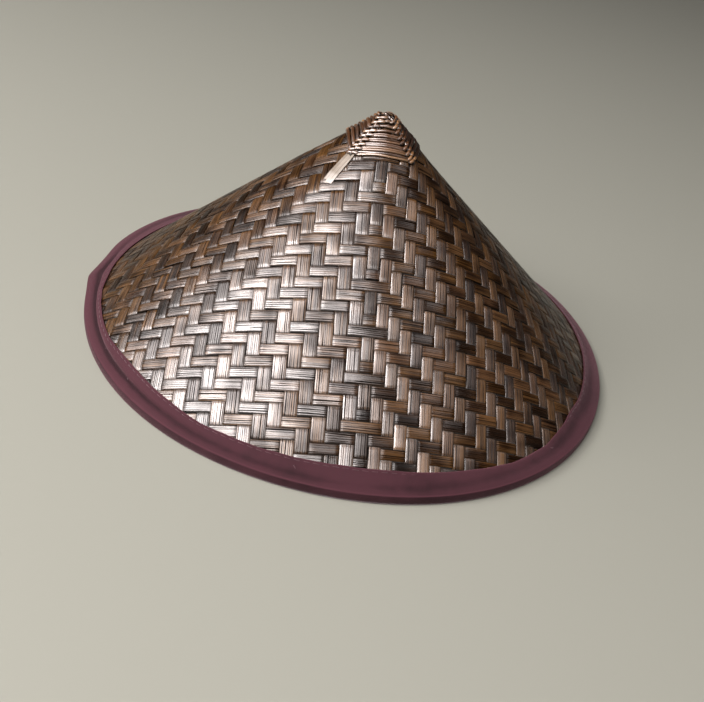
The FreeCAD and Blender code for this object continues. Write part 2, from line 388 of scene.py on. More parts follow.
class Shader:
    """A material built round one Principled shader. Colours are linear, in three parts."""

    def __init__(self, name):
        self.material = bpy.data.materials.new(name)
        self.material.use_nodes = True
        self.tree = self.material.node_tree
        self.tree.nodes.clear()
        self.output = self.tree.nodes.new("ShaderNodeOutputMaterial").inputs[0]
        self.principled = self.node("BsdfPrincipled")
        self.feed(self.output, self.principled)

    def feed(self, socket, value):
        if isinstance(value, Value):
            self.tree.links.new(value.socket, socket)
        elif value is not None:
            socket.default_value = (*value, 1) if socket.type == "RGBA" else value

    def node(self, kind, inputs={}, output=0, **settings):
        node = self.tree.nodes.new("ShaderNode" + kind)
        for key, value in settings.items():
            setattr(node, key, value)
        for key, value in inputs.items():
            self.feed(node.inputs[key], value)
        return Value(self, node.outputs[output])

    def surface(self, inputs):
        for key, value in inputs.items():
            self.feed(self.principled.socket.node.inputs[key], value)
        return self.material

    def attribute(self, name, output="Vector"):
        return self.node("Attribute", output=output, attribute_name=name)

    def split(self, vector):
        x = self.node("SeparateXYZ", {0: vector})
        return [Value(self, socket) for socket in x.socket.node.outputs]

    def join(self, x, y, z):
        return self.node("CombineXYZ", {0: x, 1: y, 2: z})

    def math(self, operation, a, b=None):
        return self.node("Math", {0: a, 1: b}, operation=operation)

    def noise(self, vector, scale=1.0, detail=2.0, rough=0.5):
        return self.node("TexNoise", {"Vector": vector, "Scale": scale, "Detail": detail,
                                      "Roughness": rough}, output="Fac")

    def ramp(self, factor, stops):
        """stops are (position, grey or colour)."""
        value = self.node("ValToRGB", {0: factor})
        elements = value.socket.node.color_ramp.elements
        while len(elements) < len(stops):
            elements.new(0.5)
        for element, (position, colour) in zip(elements, stops):
            element.position = position
            element.color = (*(colour if isinstance(colour, tuple) else (colour,) * 3), 1)
        return value

    def mix(self, factor, a, b, mode="MIX"):
        return self.node("Mix", {0: factor, 6: a, 7: b}, output=2, data_type="RGBA",
                         blend_type=mode, clamp_factor=True)

    def bump(self, height, strength, distance):
        return self.node("Bump", {"Strength": strength, "Distance": distance, "Height": height})

    def position(self):
        return self.node("TexCoord", output="Object")


def srgb(*parts):
    """Linear colour from sRGB parts of 0 to 255."""
    return tuple((c / 255) / 12.92 if c / 255 <= 0.04045 else ((c / 255 + 0.055) / 1.055) ** 2.4
                 for c in parts)


def scaled(colour, factor):
    return tuple(min(1, factor * c) for c in colour)


# ------------------------------------------------------------------ materials
FIBRE_PITCH = 1.4                                  # mm between the dark lines in bamboo
# colour casts from splint to splint: hue, multiplier
CASTS = ((0.0, (1.10, 1.0, 0.66)), (0.3, (1.02, 1.0, 0.90)), (0.58, (1.02, 0.96, 0.98)),
         (0.82, (1.06, 1.0, 0.76)), (1.0, (1.17, 1.0, 0.55)))


def bamboo(name, dark, mid, light, gloss=0.22, anisotropy=0.9, specular=1.0, lines=1.0,
           cast_strength=1.0):
    """Split bamboo: long fibres, a tint to each splint, varnish that shines on the fibres' backs.

    gloss is the base roughness, lines the strength of the dark lines.
    """
    s = Shader(name)
    across, along, lot = s.split(s.attribute("fib"))
    tone, hue, shown = s.split(s.attribute("tint"))
    place = s.attribute("xn", "Fac")

    def grain(x, per_mm, offset, detail=1.0, rough=0.5):
        """Noise stretched along the fibres. per_mm is its frequency across and along them."""
        vector = s.join(x * per_mm[0], along * per_mm[1], lot + offset)
        return s.noise(vector, detail=detail, rough=rough)

    wobble = s.noise(s.join(across * 0.1, along * 0.09, lot), detail=1.0)
    wavy = across + (wobble - 0.5) * 0.5

    # lanes of hard lines that come and go, then finer streaks, bands, patches and flecks
    shift = grain(across, per_mm=(0.8, 0.012), offset=4.4, rough=0.4)
    lane = across / FIBRE_PITCH + shift * 1.3
    ridge = abs(s.math("FRACT", lane) - 0.5) * 2.0
    presence = grain(s.math("FLOOR", lane + 0.5), per_mm=(3.7, 0.03), offset=51.0)
    fine = grain(wavy, per_mm=(4.2, 0.026), offset=9.1, detail=3.0, rough=0.7)
    band = grain(wavy, per_mm=(0.55, 0.014), offset=31.7, detail=1.5)
    patch = grain(across, per_mm=(0.04, 0.055), offset=77.1)
    fleck = grain(across, per_mm=(2.2, 0.42), offset=12.3, detail=2.0, rough=0.6)
    line = s.ramp(ridge, [(0.62, 0.0), (0.84, 1.0)]) * s.ramp(presence, [(0.36, 0.05), (0.50, 1.0)])
    line = line * s.ramp(fine, [(0.3, 1.0), (0.66, 0.75)])
    thin = s.ramp(fine, [(0.30, 1.0), (0.44, 0.0)])
    mask = s.math("MINIMUM", (line + thin * 0.6) * lines, 1.0)

    depth = tone * 0.36 + patch * 0.62 + (band - 0.5) * 0.7 + (fine - 0.5) * 0.5
    colour = s.ramp(depth, [(0.14, dark), (0.45, mid), (0.78, light), (1.0, scaled(light, 1.3))])
    cast = s.ramp(hue, [(position, tuple(1 + (c - 1) * cast_strength for c in multiplier))
                        for position, multiplier in CASTS])
    colour = s.mix(1.0, colour, cast, "MULTIPLY")
    colour = s.mix(mask * 0.92, colour, scaled(dark, 0.22))
    spots = s.ramp(fleck, [(0.68, 0.0), (0.75, 1.0)])
    colour = s.mix(spots * 0.4, colour, scaled(dark, 0.4))

    # painted shade at a splint's edges and where it dives under its neighbour: the less a place
    # shows, the darker it is painted
    painted_edge_shade = s.ramp(abs(place), [(0.95, 0.0), (1.0, 1.0)]) * s.attribute("edg", "Fac")
    painted_dive_shade = s.ramp(shown, [(0.0, 1.0), (0.32, 0.90), (0.58, 0.25), (0.80, 0.0)])
    colour = s.mix(s.math("MAXIMUM", painted_edge_shade * 0.45, painted_dive_shade), colour, scaled(dark, 0.16))

    rough = fine * 0.16 + (gloss - 0.06) + s.math("MAXIMUM", mask, painted_dive_shade) * 0.35
    dullness = s.math("MAXIMUM", s.math("MAXIMUM", mask * 0.95, painted_edge_shade * 0.5), painted_dive_shade * 0.88)
    uneven = s.node("MapRange", {"Value": patch * 0.7 + hue * 0.3, "From Min": 0.3,
                                 "From Max": 0.7, "To Min": 0.48, "To Max": 1.66})
    relief = fine * 0.5 + band * 0.8 - mask * 0.55
    return s.surface({
        "Base Color": colour,
        "Roughness": rough,
        "Anisotropic": anisotropy,
        "Tangent": s.attribute("acr"),
        "IOR": 1.55,
        "Specular IOR Level": (1.0 - dullness) * specular * uneven,
        "Specular Tint": (1.0, 0.97, 0.95),
        "Coat Roughness": 0.3,
        "Normal": s.bump(relief, strength=0.5, distance=0.00006)})


def cloth(name, base, pitch, bright, dull, rough, sheen, fold_highlight_colour=None, soil=None):
    """Plain-woven cloth: crossing threads, slubs, painted highlights on ridges and painted shade in
    the creases.

    pitch is the thread pitch in mm; bright and dull multiply base at the ends of its range.
    """
    s = Shader(name)
    across, along, _ = s.split(s.attribute("fib"))
    _, fold, painted_shading = s.split(s.attribute("tint"))
    wave_x = s.math("SINE", across * (2 * math.pi / pitch))
    wave_y = s.math("SINE", along * (2 * math.pi / pitch))
    height_x, height_y = abs(wave_x), abs(wave_y)
    over = s.math("GREATER_THAN", wave_x * wave_y, 0.0)
    thread = over * height_x + (1.0 - over) * height_y
    position = s.position()
    broad = s.noise(position, scale=16.0)
    mottle = s.noise(position, scale=120.0, detail=3.0, rough=0.6)
    slub = s.noise(s.join(across * 0.08, along * 2.2, 0.0))

    # the third tint part carries painted light and shade worked out with the mesh
    fade = broad * 0.5 + mottle * 0.25 + slub * 0.12 + painted_shading * 0.22
    colour = s.ramp(fade, [(0.28, scaled(base, dull)), (0.52, base), (0.85, scaled(base, bright))])
    # painted shade in the hollows between the threads
    colour = s.mix((1.0 - thread) * 0.28, colour, scaled(base, 0.4))
    # a painted highlight along the fold
    if fold_highlight_colour:
        colour = s.mix(fold * 0.5, colour, fold_highlight_colour)
    if soil:
        stain = s.noise(position, scale=38.0, detail=4.0, rough=0.65)
        colour = s.mix(s.ramp(stain, [(0.52, 0.0), (0.75, 0.5)]), colour, soil)
    return s.surface({
        "Base Color": colour,
        "Roughness": mottle * 0.2 + (rough - 0.1),
        "Sheen Weight": sheen,
        "Sheen Roughness": 0.45,
        "Sheen Tint": tuple(min(1, 0.4 + 0.6 * c / max(base)) for c in base),
        "Specular IOR Level": 0.12,
        "Normal": s.bump(thread + mottle * 1.5, strength=0.35, distance=0.00012)})


def yarn(name, base):
    """Spun thread or laid cord: fine fibres along it, with painted shade between its turns."""
    s = Shader(name)
    across, along, lot = s.split(s.attribute("fib"))
    tone, _, shown = s.split(s.attribute("tint"))
    fibre = s.noise(s.join(across * 5.0 + along * 2.2, along * 0.35, lot), rough=0.6)
    patch = s.noise(s.position(), scale=60.0)
    fade = fibre * 0.55 + patch * 0.35 + tone * 0.1
    colour = s.ramp(fade, [(0.3, scaled(base, 0.45)), (0.52, base), (0.75, scaled(base, 1.45))])
    # painted shade where a place shows less, between strands and turns
    colour = s.mix(s.ramp(shown, [(0.0, 0.75), (0.55, 0.0)]), colour, scaled(base, 0.3))
    return s.surface({
        "Base Color": colour,
        "Roughness": 0.75,
        "Sheen Weight": 0.3,
        "Specular IOR Level": 0.3,
        "Normal": s.bump(fibre, strength=0.5, distance=0.00012)})


def brass():
    """Scuffed, tarnished wire."""
    s = Shader("ring_brass")
    position = s.position()
    scuff = s.noise(position, scale=900.0, detail=3.0, rough=0.65)
    tarnish = s.noise(position, scale=220.0, detail=3.0, rough=0.6)
    return s.surface({
        "Metallic": 1.0,
        "Base Color": s.ramp(tarnish, [(0.35, srgb(120, 92, 48)), (0.6, srgb(196, 160, 92))]),
        "Roughness": scuff * 0.3 + tarnish * 0.15,
        "Normal": s.bump(scuff, strength=0.25, distance=0.00005)})


def turned_wood():
    """Wood with its grain along Y, tipped like the strap it hangs on."""
    s = Shader("bead_wood")
    x, y, z = s.split(s.node("Mapping", {"Vector": s.position(),
                                         "Rotation": (math.radians(16), 0, 0)}))
    # frequencies are per metre
    grain = s.noise(s.join(x * 1500.0, y * 90.0, z * 1500.0), detail=3.0, rough=0.6)
    rings = s.noise(s.join(x * 330.0, y * 22.0, z * 330.0))
    figure = grain * 0.5 + rings * 0.5
    return s.surface({
        "Base Color": s.ramp(figure, [(0.36, srgb(58, 34, 20)), (0.5, srgb(104, 66, 40)),
                                      (0.66, srgb(142, 98, 62))]),
        "Roughness": grain * 0.25 + 0.22,
        "Coat Weight": 0.3,
        "Normal": s.bump(figure, strength=0.3, distance=0.0001)})


MAROON = srgb(59, 32, 38)
MATERIALS = {
    "bamboo": bamboo("stained_bamboo", srgb(13, 6, 2), srgb(36, 21, 9), srgb(88, 63, 40),
                     lines=1.3),
    "rattan": bamboo("stained_rattan", srgb(38, 22, 12), srgb(88, 57, 34), srgb(138, 103, 71),
                     gloss=0.25, anisotropy=0.5, specular=2.1, lines=0.4, cast_strength=0.5),
    "cane": bamboo("hoop_cane", srgb(122, 92, 58), srgb(168, 134, 88), srgb(200, 168, 118),
                   gloss=0.35, anisotropy=0.4, specular=0.5, lines=0.5, cast_strength=0.4),
    "ring_bamboo": bamboo("ring_bamboo", srgb(116, 84, 50), srgb(160, 124, 80),
                          srgb(194, 160, 112), gloss=0.32, anisotropy=0.6, specular=0.5,
                          lines=0.6, cast_strength=0.4),
    "binding_cloth": cloth("maroon_tape", MAROON, pitch=0.45, bright=1.3, dull=0.36, rough=0.8,
                           sheen=0.15, fold_highlight_colour=scaled(MAROON, 1.5)),
    "binding_thread": yarn("maroon_thread", srgb(74, 44, 50)),
    "lashing_cord": yarn("lashing_cord", srgb(86, 62, 44)),
    "sweatband_cotton": cloth("sweatband_cotton", srgb(176, 164, 142), pitch=0.6, bright=1.12,
                              dull=0.82, rough=0.85, sheen=0.2, soil=srgb(150, 130, 100)),
    "strap_cord": yarn("strap_cord", srgb(70, 42, 48)),
    "ring_wire": brass(),
    "bead_wood": turned_wood(),
}

# ------------------------------------------------------------------ woven splints
# Three families cross in a twill, two over and two under. One crosses the front seam, the
# others the seams at the rear left and the rear right.
FRONT_PITCH, LEFT_PITCH, RIGHT_PITCH = 8.18, 9.76, 8.51
FRONT_PHASE = 0.301                                # of a pitch, added to the front family's first
SPLINT_THICKNESS = 0.62
SPLINT_CROWN = 0.20
WEAVE_OFFSET = -0.78                               # middle of the weave, out of the cone
WEAVE_HEIGHT = 0.36                                # a splint's rise and fall about it
SPLINT_STEP = 1.45                                 # between cross sections
SEAM_HALF_WIDTH = 4.15
SEAM_START = 7.0                                   # distance from the apex


def weave_height(crossings, over):
    """Height -1 to 1 along a splint. over says up or down at each whole crossing number."""
    i = np.floor(crossings).astype(int)
    t = smooth(crossings - i, 0.31, 0.69)
    return np.where(over(i), 1.0, -1.0) * (1 - t) + np.where(over(i + 1), 1.0, -1.0) * t


def splint(bag, u, v, axis, crossings, over, half_width, seed, painted_sheen=0.0):
    """A splint along a curve on the unrolled cone, cut off inside the rim.

    u runs from the apex along the azimuth axis (degrees), v square to it. Its last argument, above
    0, lightens its tone: a painted sheen. It also keeps the painted edge shade off the edge where
    SECTION_X is negative.
    """
    axis = math.radians(axis)
    inside = np.hypot(u, v) < splint_edge(axis + np.arctan2(v, u) / COS_SLOPE)
    if inside.sum() < 5:
        return
    u, v, crossings = u[inside], v[inside], crossings[inside]
    count = len(u)
    du, dv = np.gradient(u), np.gradient(v)
    length = np.hypot(du, dv)
    ahead_u, ahead_v = du / length, dv / length
    along = np.concatenate([[0], np.cumsum(np.hypot(np.diff(u), np.diff(v)))])
    height = weave_height(crossings, over)
    random = np.random.default_rng(1000 + seed)
    lift = line_noise(count, 14, 5000 + seed, 0.05)
    tilt = line_noise(count, 11, 7000 + seed, 0.07)
    width = 1 + line_noise(count, 30, 9000 + seed, 0.018)
    section = section_heights(random, SPLINT_THICKNESS, SPLINT_CROWN, groove_depth=0.085,
                              edge=SPLINT_THICKNESS / 2 - SPLINT_CROWN - 0.27, hollow=0.05,
                              shoulder_drop=0.05)
    across = SECTION_X * half_width
    point_u = u[:, None] + ahead_v[:, None] * across[None, :] * width[:, None]
    point_v = v[:, None] - ahead_u[:, None] * across[None, :] * width[:, None]
    offset = (WEAVE_OFFSET + WEAVE_HEIGHT * height + lift)[:, None] + section[None, :] \
        + tilt[:, None] * SECTION_X[None, :]
    slant = np.hypot(point_u, point_v)
    azimuth = axis + np.arctan2(point_v, point_u) / COS_SLOPE
    edge = splint_edge(azimuth)
    slant = np.minimum(slant, edge + 0.2 + 0.04 * (slant - edge))     # all cut along one line
    points = cone(slant, azimuth, offset)
    direction = unit(points[:, TOP_COUNT - 1] - points[:, 0])
    fib = (across, (along + random.uniform(0, 500))[:, None], random.uniform(0, 100.0))
    tone = float(np.clip(random.uniform(0, 1) + painted_sheen, 0, 1.2))
    hue = random.uniform(0, 1)
    is_back = np.arange(len(SECTION_X)) >= TOP_COUNT                  # seen inside the hat
    # the third tint part says how far each place shows, front and back, for the painted shade where
    # the splint dives
    swing = 0.5 * height[:, None]
    bag.add(points, tube_faces(count, len(SECTION_X), False), fib=fib,
            tint=(tone, hue, np.where(is_back, 0.5 - swing, 0.5 + swing)),
            acr=np.broadcast_to(direction[:, None], points.shape), xn=SECTION_X,
            edg=np.where((SECTION_X < 0) & (painted_sheen > 0), 0.0, 1.0))


def rear_share(angle):
    return smooth(np.abs(np.degrees(angle)), 35, 80)


def first_pair(k):
    """True for the first two of every four."""
    return np.mod(k, 4) < 2


def ranks(pitch, phase=0.0):
    """Numbers of the splints that start well inside the edge."""
    return range(1, int((SPLINT_EDGE - 4) / pitch - phase) + 1)


def chord(distance):
    """v from rim to rim for a splint at this distance from the apex."""
    reach = math.sqrt(SPLINT_EDGE ** 2 - distance ** 2)
    return np.linspace(-reach, reach, int(2 * reach / SPLINT_STEP))


splint_bags = defaultdict(Bag)
splint_seeds = itertools.count()
width_random = np.random.default_rng(20)


def front_family():
    for j in ranks(FRONT_PITCH, FRONT_PHASE):
        v = chord(FRONT_PITCH * (j + FRONT_PHASE))
        u = np.full_like(v, FRONT_PITCH * (j + FRONT_PHASE))
        for _ in range(3):             # the phase fades out towards the rear, which moves u
            u = FRONT_PITCH * (j + FRONT_PHASE * (1 - rear_share(np.arctan2(v, u))))
        u = u + line_noise(len(u), 26, 300 + j, 0.16)
        half_width = 0.465 * FRONT_PITCH * (1 + 0.03 * width_random.uniform(-1, 1))
        splint(splint_bags["splints_front_%d" % (j % 4)], u, v, 0.0,
               v / np.where(v > 0, RIGHT_PITCH, LEFT_PITCH),
               lambda k, j=j: ~first_pair(j - 1 - np.abs(k)), half_width, next(splint_seeds))


def rear_family(side, axis, pitch, other_pitch, noise_seed, painted_sheen):
    """The left or right family. Crossings count up forwards and down to the rear."""
    left = side == "left"
    for j in ranks(pitch):
        v = chord(pitch * j)
        u = pitch * j + line_noise(len(v), 26, noise_seed + j, 0.16)
        from_front = math.pi / 2 - np.abs(np.arctan2(v, u))
        is_front = (v > 0) if left else (v < 0)
        distance = np.abs(v)
        phase = FRONT_PHASE * (1 - rear_share(from_front)) * smooth(distance, 0, FRONT_PITCH)
        crossings = np.where(is_front, distance / FRONT_PITCH - phase, -(distance / other_pitch))

        def over(k, j=j):
            over_front = first_pair(k - 1 - j)
            over_other = first_pair(-k - j) if left else ~first_pair(j + k)
            over_seam = ~first_pair(j)
            return np.where(k > 0, over_front, np.where(k < 0, over_other, over_seam))

        half_width = 0.482 * pitch * (1 + 0.015 * width_random.uniform(-1, 1))
        splint(splint_bags["splints_%s_%d" % (side, j % 4)], u, v, axis, crossings, over,
               half_width, next(splint_seeds), painted_sheen)


def seam_splint(axis, pitch, phase, shift, first):
    """A splint up the middle of a seam. It passes over from the crossing numbered first."""
    seed = next(splint_seeds)
    u = np.arange(SEAM_START, SPLINT_EDGE, SPLINT_STEP)
    v = shift + line_noise(len(u), 26, 777 + seed, 0.15)
    splint(splint_bags["splints_seams"], u, v, axis, u / pitch - phase,
           lambda k: first_pair(k - first), SEAM_HALF_WIDTH, seed)


front_family()
rear_family("left", -120.0, LEFT_PITCH, RIGHT_PITCH, noise_seed=450, painted_sheen=0.0)
# the right family's tone is lifted: a painted sheen for the splints that catch the light on the
# hat's right
rear_family("right", 120.0, RIGHT_PITCH, LEFT_PITCH, noise_seed=500, painted_sheen=0.2)
seam_splint(0.0, FRONT_PITCH, FRONT_PHASE, shift=-0.3, first=1)
seam_splint(-120.0, LEFT_PITCH, 0.0, shift=0.0, first=0)
seam_splint(120.0, RIGHT_PITCH, 0.0, shift=0.0, first=0)
for key, bag in sorted(splint_bags.items()):
    piece(key, bag, "bamboo", "woven_shell")

# ------------------------------------------------------------------ rattan tip
HALF_ROUND = ring(14)
ROW_PITCH = 4.2
RIB_ROWS = 10.0 + ROW_PITCH * np.arange(8)         # slant where the canes meet the ribs
# a rib's line from its foot: slant, offset, share of the lift
RIB_SIDE = np.array([(43.0, 0.9, 0.1), (41.0, 1.0, 0.7), (37.0, 1.0, 1), (32.0, 1.0, 1),
                     (26.0, 1.0, 1), (20.0, 1.0, 1), (15.0, 1.0, 1), (11.5, 1.0, 1)])
RIB_TOP_Z = 181.6
CORD_RADIUS, CORD_OFFSET, CORD_PITCH, CORD_STRANDS = 0.46, 0.44, 5.2, 2


def out_of_tip(path):
    """Roughly out of the cone, and straight up at the very top."""
    x, y = path[:, 0], path[:, 1]
    radius = np.maximum(np.hypot(x, y), 9.0)
    return np.stack([SIN_SLOPE * x / radius, SIN_SLOPE * y / radius,
                     np.full(len(path), COS_SLOPE)], -1)


def rib_line(azimuths, y_top, lift=0.0):
    """Up one rib, over the top at y_top and down the other. azimuths in degrees."""
    slant, offset, lift_share = RIB_SIDE.T
    up, down = (cone(slant, math.radians(azimuth), offset + lift * lift_share)
                for azimuth in azimuths)
    down = down[::-1]
    z_top = RIB_TOP_Z + 0.75 * lift
    before, after = ([x * 0.45, y * 0.45 + y_top * 0.6, z_top - 1.0]
                     for x, y, _ in (up[-1], down[0]))
    middle = np.array([before, [0, y_top, z_top], after])
    return resample(spline(np.concatenate([up, middle, down]), 14), 0.45)


def spine_cord(bag, path, number):
    """A right-handed twist of two canes round the path, thinner at its ends."""
    first, second = section_axes(path, out_of_tip(path))
    length = run_length(path)
    fade = smooth(length, 0, 5) * smooth(length[-1] - length, 0, 5)
    # each strand's side facing into the twist shows less and gets painted shade
    shown = 0.5 + 0.5 * np.cos(np.arange(12) * 2 * math.pi / 12)[None, :]
    for i in range(CORD_STRANDS):
        phase = 2 * math.pi * (length / CORD_PITCH + i / CORD_STRANDS) \
            + line_noise(len(length), 12, 60 + number * 7 + i, 0.12)
        away = np.cos(phase)[:, None] * first + np.sin(phase)[:, None] * second
        swell = (1 + line_noise(len(length), 9, 90 + number * 7 + i, 0.07)) * (0.55 + 0.45 * fade)
        strand_path = path + away * (CORD_OFFSET * (0.35 + 0.65 * fade))[:, None]
        section = ring(12, CORD_RADIUS * 0.92, CORD_RADIUS * 1.12)[None] * swell[:, None, None]
        sweep(bag, strand_path, away, section, 100 + number * 10 + i, shown=0.25 + 0.75 * shown)


def half_round(half_width, thickness):
    """A flattened section for each half width, rounder on its outer side."""
    x = HALF_ROUND[:, 0]
    x = np.where(x > 0, x * thickness * 1.25, x * thickness * 0.55)
    y = HALF_ROUND[None, :, 1] * half_width[:, None]
    return np.stack(np.broadcast_arrays(x[None], y), -1)


def crossing(bag, rib, start, end, seed, half_width, hue):
    """A cane going over a rib and one row down, pinched in the middle by the spine cord."""
    random = np.random.default_rng(600 + seed)
    t = np.linspace(-1, 1, 26)
    sideways_mm = -4.7 * t + random.uniform(-0.3, 0.3)
    slant = start + (end - start) * smooth((t + 1) / 2, 0.08, 0.92) + random.uniform(-0.25, 0.25)
    arch = 1.62 + random.uniform(-0.12, 0.18)
    offset = 0.5 + arch * np.clip(1 - t ** 2, 0, 1) ** 0.75 - 0.5 * bell(t, 0, 0.16)
    azimuth = math.radians(rib) + sideways_mm / (COS_SLOPE * np.maximum(slant, 6.0))
    path = cone(slant, azimuth, offset)
    width = half_width * (0.62 + 0.38 * smooth(1 - np.abs(t), 0, 0.4)) \
        * (1 - 0.16 * bell(t, 0, 0.2)) * random.uniform(0.9, 1.1)
    # the ends, the pinch and the flat back show less and get painted shade
    shown = smooth(1 - np.abs(t), 0, 0.35) * (1 - 0.75 * bell(t, 0, 0.10))
    shown = (0.12 + 0.88 * shown)[:, None] * np.clip(0.5 + 0.65 * HALF_ROUND[:, 0], 0, 1)[None, :]
    sweep(bag, path, out_of_tip(path), half_round(width, 0.66), 800 + seed, shown=shown, hue=hue)


def tip_ribs(name, number, ribs, y_top):
    """A pair of ribs joined over the top: the core, the spine cord and the crossing canes."""
    bag = Bag()
    core = rib_line(ribs, y_top)
    # the core under the crossing canes gets painted shade throughout
    sweep(bag, core, out_of_tip(core), ring(10, 0.9), 650 + number, shown=0.3)
    spine_cord(bag, rib_line(ribs, y_top, lift=0.25), 1 + number)
    rows = [RIB_ROWS[0] - ROW_PITCH, *RIB_ROWS, RIB_ROWS[-1] + 2.2]
    for side, rib in enumerate(ribs):
        for k in range(len(rows) - 1):
            crossing(bag, rib, rows[k] + (0.8 if k == 0 else 0), rows[k + 1],
                     seed=40 * number + 20 * side + k, half_width=1.22 if k else 1.0,
                     hue=0.05 if rib == 45 else None)
    piece("tip_ribs_" + name, bag, "rattan", "tip_rib_%s_left" % name, "tip_rib_%s_right" % name,
          sharp_angle=0)


tip_ribs("front", 0, (-45, 45), y_top=-2.2)
tip_ribs("rear", 1, (-135, 135), y_top=2.2)


def strand(bag, rib_slant, azimuths, half_width, offset, seed, thickness, sag, tone):
    """A half-round cane from rib to rib. rib_slant is where it meets them, azimuths in degrees."""
    low, high = azimuths
    count = max(12, int((high - low) / 180 * math.pi * COS_SLOPE * rib_slant / 0.7))
    azimuth = np.radians(np.linspace(low, high, count))
    x = np.linspace(-1, 1, count)
    edge = smooth(1 - np.abs(x), 0, 0.16)
    slant = rib_slant * (1 - sag * (1 - x ** 2)) + line_noise(count, count / 3.1, 200 + seed, 0.3)
    offset = offset - 0.3 * (1 - edge) + line_noise(count, count / 4.0, 260 + seed, 0.08) \
        + 0.012 * rib_slant * (1 - x ** 2)
    width = half_width * (1 + line_noise(count, count / 3.0, 300 + seed, 0.09)) \
        * (0.8 + 0.2 * edge)
    # the ends and the flat back show less and get painted shade
    shown = 0.15 + 0.85 * edge[:, None] * np.clip(0.55 + 0.6 * HALF_ROUND[:, 0], 0, 1)[None, :]
    sweep(bag, cone(slant, azimuth, offset), outward_at(azimuth), half_round(width, thickness),
          400 + seed, shown=shown, tone=tone)


def tip_canes(name, azimuth, sag, tone, low_offset=0.75, widths=None):
    """The canes on one face of the tip. Without widths, they are drawn at random.

    sag is how much straighter than a ring they run, low_offset the lower canes' height.
    """
    bag = Bag()
    turn = azimuth % 360
    random = np.random.default_rng(turn + 500)
    is_front = name == "front"
    for i, width in enumerate(widths or [random.uniform(1.25, 1.6) for _ in RIB_ROWS]):
        slant = RIB_ROWS[i] + random.uniform(-0.25, 0.25)
        clear = math.degrees(math.asin(2.6 / (COS_SLOPE * slant)))
        azimuths = (azimuth - 45 + clear, azimuth + 45 - clear)
        seed = turn + 2 * i
        if i >= 3 if is_front else random.uniform() < 0.3:      # two thinner canes side by side
            share = random.uniform(0.42, 0.58)
            strand(bag, slant - width * (1 - share) - 0.08, azimuths, width * share * 1.04, 0.72,
                   seed, thickness=0.6, sag=sag, tone=tone)
            strand(bag, slant + width * share + 0.1, azimuths, width * (1 - share) * 1.04, 0.66,
                   seed + 1, thickness=0.6, sag=sag, tone=tone)
        else:
            strand(bag, slant, azimuths, width, low_offset if i > 2 else 1.0, seed,
                   thickness=0.62, sag=sag, tone=tone)
    piece("tip_canes_" + name, bag, "rattan", "tip_wrap_" + name, sharp_angle=0)


tip_canes("front", 0, sag=0.11, tone=None, widths=[0.95, 0.95, 1.0, 1.45, 1.5, 1.5, 1.55, 1.6])
# the right face's canes get a dark tone, painted shade for the face in shadow; the rear and left
# faces get fixed low tones
tip_canes("right", 90, sag=0.10, tone=-0.6, low_offset=1.15)
tip_canes("rear", 180, sag=0.19, tone=0.0)
tip_canes("left", -90, sag=0.19, tone=-0.1)


def tip_coil():
    """Two turns of cane at the very top."""
    bag = Bag()
    azimuth = np.linspace(0, 2 * math.pi, 40, endpoint=False)
    for i, (radius, z) in enumerate(((3.4, 179.6), (5.6, 177.6))):
        sweep(bag, around(azimuth, radius, z + 0.3 * np.sin(3 * azimuth + i)),
              around(azimuth, 1, 0.8), ring(10, 0.85, 1.0), 700 + i, closed=True, shown=0.5)
    piece("tip_coil_canes", bag, "rattan", "tip_coil", sharp_angle=0)


def tip_core_tail():
    """The flat tail of the front left rib's core, tucked into the weave."""
    bag = Bag()
    slant = np.linspace(37.0, 69.0, 40)
    azimuth = np.radians(-45.8 - 0.6 * (slant - 37) / 38)
    offset = np.interp(slant, [37, 41, 50, 60, 65, 69], [0.55, 0.45, 0.42, 0.35, -0.2, -0.75])
    half_width = np.interp(slant, [37, 45, 60, 69], [2.4, 3.5, 4.0, 4.0])
    ribbon(bag, cone(slant, azimuth, offset), sideways(azimuth), outward_at(azimuth), half_width,
           thickness=0.6, seed=5, tone=0.6)
    # its pale, greyish colours are a painted highlight: the tail faces the light like the bright
    # splints beside it
    pale = bamboo("core_painted_highlight", srgb(78, 68, 62), srgb(112, 102, 96), srgb(146, 136, 130),
                  lines=0.45, specular=1.3)
    piece("tip_core_tail", bag, "bamboo", material=pale)


tip_coil()
tip_core_tail()

# ------------------------------------------------------------------ cloth-bound brim
BRIM_COUNT = 960
rim_azimuth = np.linspace(-math.pi, math.pi, BRIM_COUNT, endpoint=False)
rim_degrees = np.degrees(rim_azimuth)


def rim_profile(rows, reach=12, spread=5.0):
    """Smoothed values round the rim from rows of degrees from the camera's side and value."""
    rows = np.array(rows, float)
    side = wrap180(rim_degrees + CAMERA_TURN) % 360
    values = np.interp(side, np.mod(rows[:, 0], 360), rows[:, 1], period=360)
    kernel = np.exp(-(np.arange(-reach, reach + 1) / spread) ** 2)
    wrapped = np.concatenate([values[-reach:], values, values[:reach]])
    return np.convolve(wrapped, kernel / kernel.sum(), "valid")


tape_width = rim_profile([
    (-92, 22.0), (-85, 22.7), (-80, 21.5), (-75, 22.1), (-65, 22.5), (-59.5, 22.7), (-54, 24.8),
    (-44.5, 25.5), (-40.5, 24.6), (-37, 24.1), (-31, 22.9), (-25, 21.4), (-20, 21.9), (-17, 21.5),
    (4, 22.2), (12, 21.4), (20, 19.7), (27, 18.4), (35, 16.9), (40, 15.9), (46, 16.1), (51, 16.2),
    (56, 17.8), (59, 18.7), (65, 21.6), (70, 20.8), (76, 21.7), (84, 22.4), (130, 21.5),
    (180, 22.5), (230, 21.0)], reach=8, spread=3.0)
tape_slant = BRIM_SLANT - tape_width + ring_noise(BRIM_COUNT, 110, 5, 0.22)     # its inner edge


def rim_ripple(*waves):
    """Sum of ring noises of (knots, seed, size)."""
    return sum(ring_noise(BRIM_COUNT, *wave) for wave in waves)


